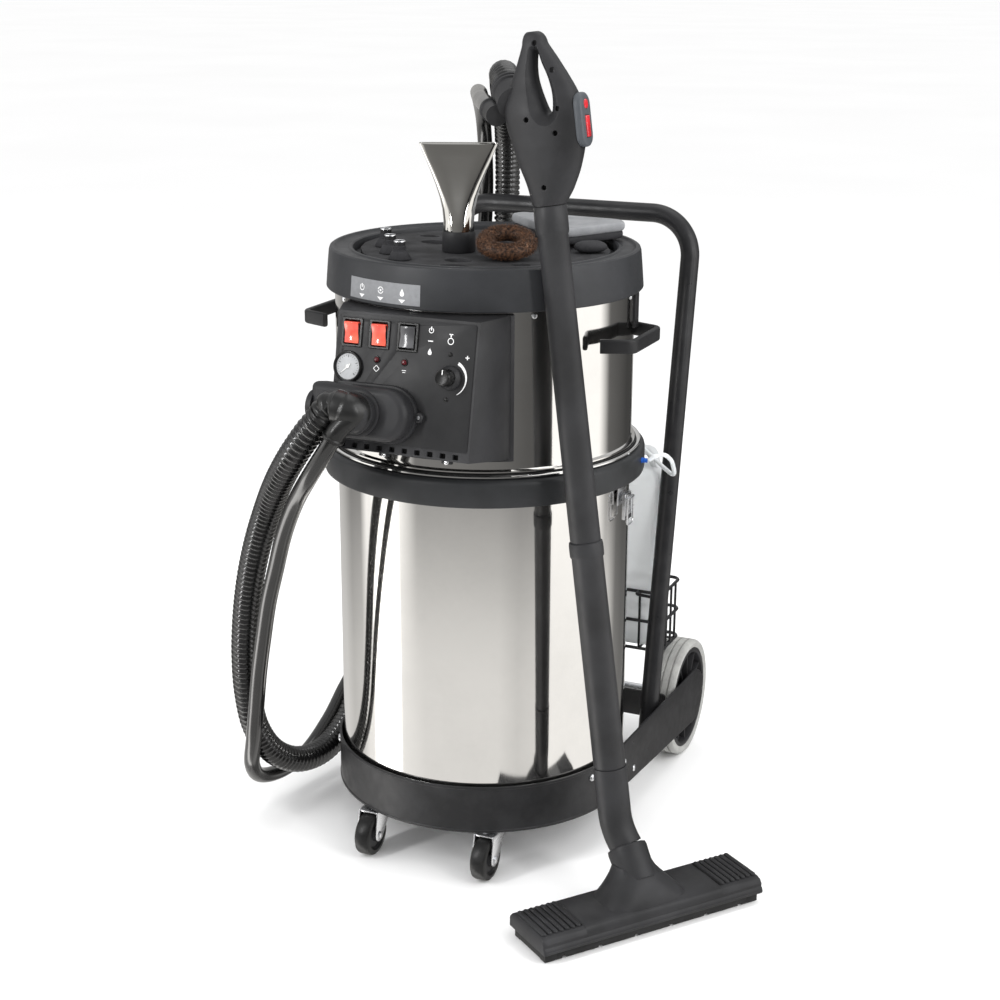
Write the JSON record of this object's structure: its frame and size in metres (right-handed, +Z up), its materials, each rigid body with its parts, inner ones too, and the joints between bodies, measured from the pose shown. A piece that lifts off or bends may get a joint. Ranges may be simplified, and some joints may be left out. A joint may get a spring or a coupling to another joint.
{
  "type": "steam cleaner",
  "caption": "Upright steam cleaner with wet suction: round steel tank on a wheeled chassis, lift-off head with control box, hoses, lance, floor tool and tray of accessories.",
  "frame": {"origin": "on the floor, under the middle of the machine's bounding box measured without its hoses", "axes": "+Z up, +Y towards the push handle and rear wheels, -Y towards the control panel"},
  "size_m": [0.7392, 0.7614, 1.1083],
  "materials": {
    "drum_steel": "polished",
    "bright_chrome": "polished",
    "zinc_steel": "zinc plated",
    "black_paint": "satin",
    "black_plastic": "satin",
    "grey_plastic": "satin",
    "grey_rubber": "matte",
    "black_rubber": "matte",
    "boiler_metal": "satin",
    "red_plastic": "gloss",
    "clear_plastic": "translucent",
    "bristle": "coarse"
  },
  "bodies": {
    "chassis": {"base_hoop": "black_paint", "base_plate": "black_paint", "chassis_arm_left": "black_paint", "chassis_arm_right": "black_paint", "rear_axle": "zinc_steel", "recovery_tank": "drum_steel", "tank_rim": "grey_plastic", "push_handle": "black_paint", "wire_basket": "black_paint"},
    "rear_wheel_left": {"rear_hub_left": "black_plastic", "rear_tyre_left": "grey_rubber"},
    "rear_wheel_right": {"rear_hub_right": "black_plastic", "rear_tyre_right": "grey_rubber"},
    "caster_swivel_left": {"caster_fork_left": "zinc_steel"},
    "caster_swivel_right": {"caster_fork_right": "zinc_steel"},
    "caster_roller_left": {"caster_wheel_left": "black_rubber"},
    "caster_roller_right": {"caster_wheel_right": "black_rubber"},
    "latch_left": {"latch_lever_left": "black_plastic"},
    "latch_right": {"latch_lever_right": "black_plastic"},
    "bail_left": {"latch_bail_left": "zinc_steel"},
    "bail_right": {"latch_bail_right": "zinc_steel"},
    "head": {"head_flange": "drum_steel", "head_drum": "drum_steel", "lid": "grey_plastic", "accessory_tray": "black_rubber", "control_box": "black_plastic", "control_panel": "black_plastic", "pressure_gauge": "black_plastic", "hose_socket": "black_plastic", "hose_elbow": "black_plastic", "boiler": "boiler_metal", "suction_motor": "black_plastic", "water_pump": "black_plastic", "float_cage": "black_plastic", "side_handle_left": "black_plastic", "side_handle_right": "black_plastic", "suction_hose": "black_plastic", "steam_hose": "black_rubber", "gun_shell_front": "black_plastic", "gun_shell_rear": "black_plastic", "gun_button_pad": "grey_plastic", "lance_upper_tube": "black_plastic", "lance_lower_tube": "black_plastic", "lance_bend": "black_plastic", "floor_head": "black_plastic", "floor_squeegee": "black_rubber"},
    "power_rocker": {"power_switch": "red_plastic"},
    "vacuum_rocker": {"vacuum_switch": "red_plastic"},
    "water_rocker": {"water_switch": "clear_plastic"},
    "needle": {"gauge_needle": "clear_plastic"},
    "knob": {"steam_knob": "black_plastic"},
    "steam_trigger": {"steam_button": "red_plastic"},
    "suction_trigger": {"suction_button": "red_plastic"},
    "canister": {"detergent_canister": "clear_plastic", "dosing_tube": "clear_plastic"},
    "cap": {"canister_cap": "black_plastic"},
    "nozzle": {"fan_nozzle": "bright_chrome"},
    "brush": {"round_brush": "bristle"},
    "pad": {"window_pad": "grey_plastic"},
    "jets": {"jet_set": "black_plastic"}
  },
  "joints": [
    {"name": "rear_wheel_left_spin", "type": "hinge", "parent": "chassis", "child": "rear_wheel_left", "pos_m": [-0.28819, 0.29073, 0.09], "axis": [1, 0, 0], "continuous": true},
    {"name": "caster_left_swivel", "type": "hinge", "parent": "chassis", "child": "caster_swivel_left", "pos_m": [-0.18819, -0.19027, 0.063], "axis": [0, 0, 1], "continuous": true},
    {"name": "caster_left_spin", "type": "hinge", "parent": "caster_swivel_left", "child": "caster_roller_left", "pos_m": [-0.18819, -0.21027, 0.03], "axis": [1, 0, 0], "continuous": true},
    {"name": "latch_left_lever", "type": "hinge", "parent": "chassis", "child": "latch_left", "pos_m": [-0.31069, -0.02727, 0.508], "axis": [0, 1, 0], "range_deg": [0, 90]},
    {"name": "latch_left_bail", "type": "hinge", "parent": "latch_left", "child": "bail_left", "pos_m": [-0.31619, -0.02727, 0.502], "axis": [0, 1, 0], "range_deg": [0, 50]},
    {"name": "rear_wheel_right_spin", "type": "hinge", "parent": "chassis", "child": "rear_wheel_right", "pos_m": [0.08581, 0.29073, 0.09], "axis": [1, 0, 0], "continuous": true},
    {"name": "caster_right_swivel", "type": "hinge", "parent": "chassis", "child": "caster_swivel_right", "pos_m": [-0.01419, -0.19027, 0.063], "axis": [0, 0, 1], "continuous": true},
    {"name": "caster_right_spin", "type": "hinge", "parent": "caster_swivel_right", "child": "caster_roller_right", "pos_m": [-0.01419, -0.21027, 0.03], "axis": [1, 0, 0], "continuous": true},
    {"name": "latch_right_lever", "type": "hinge", "parent": "chassis", "child": "latch_right", "pos_m": [0.10831, -0.02727, 0.508], "axis": [0, -1, 0], "range_deg": [0, 90]},
    {"name": "latch_right_bail", "type": "hinge", "parent": "latch_right", "child": "bail_right", "pos_m": [0.11381, -0.02727, 0.502], "axis": [0, -1, 0], "range_deg": [0, 50]},
    {"name": "head_lift", "type": "slide", "parent": "chassis", "child": "head", "axis": [0, 0, 1], "range_m": [0, 0.095]},
    {"name": "power_rock", "type": "hinge", "parent": "head", "child": "power_rocker", "pos_m": [-0.17619, -0.25552, 0.74353], "axis": [1, 0, 0], "range_deg": [-22.92, 0]},
    {"name": "vacuum_rock", "type": "hinge", "parent": "head", "child": "vacuum_rocker", "pos_m": [-0.13819, -0.25552, 0.74353], "axis": [1, 0, 0], "range_deg": [-22.92, 0]},
    {"name": "water_rock", "type": "hinge", "parent": "head", "child": "water_rocker", "pos_m": [-0.09919, -0.25552, 0.74353], "axis": [1, 0, 0], "range_deg": [-11.46, 11.46]},
    {"name": "gauge_turn", "type": "hinge", "parent": "head", "child": "needle", "pos_m": [-0.17819, -0.26615, 0.70182], "axis": [0, -0.9794, 0.2018], "range_deg": [-270, 0], "stiffness_Nm_per_rad": 0.0001},
    {"name": "knob_turn", "type": "hinge", "parent": "head", "child": "knob", "pos_m": [-0.03819, -0.2644, 0.70044], "axis": [0, -0.9794, 0.2018], "range_deg": [-270, 0]},
    {"name": "steam_press", "type": "slide", "parent": "head", "child": "steam_trigger", "axis": [-0.9898, -0.0022, -0.1424], "range_m": [0, 0.0014], "stiffness_N_per_m": 600},
    {"name": "suction_press", "type": "slide", "parent": "head", "child": "suction_trigger", "axis": [-0.9898, -0.0022, -0.1424], "range_m": [0, 0.0014], "stiffness_N_per_m": 600},
    {"name": "canister_lift", "type": "slide", "parent": "chassis", "child": "canister", "axis": [0, 0, 1], "range_m": [0, 0.12]},
    {"name": "cap_turn", "type": "hinge", "parent": "canister", "child": "cap", "pos_m": [-0.07519, 0.24723, 0.478], "axis": [0, 0, 1], "range_deg": [0, 360]},
    {"name": "nozzle_lift", "type": "slide", "parent": "head", "child": "nozzle", "axis": [0, 0, 1], "range_m": [0, 0.036]},
    {"name": "brush_lift", "type": "slide", "parent": "head", "child": "brush", "axis": [0, 0, 1], "range_m": [0, 0.06]},
    {"name": "pad_lift", "type": "slide", "parent": "head", "child": "pad", "axis": [0, 0, 1], "range_m": [0, 0.06]},
    {"name": "jets_lift", "type": "slide", "parent": "head", "child": "jets", "axis": [0, 0, 1], "range_m": [0, 0.06]}
  ]
}
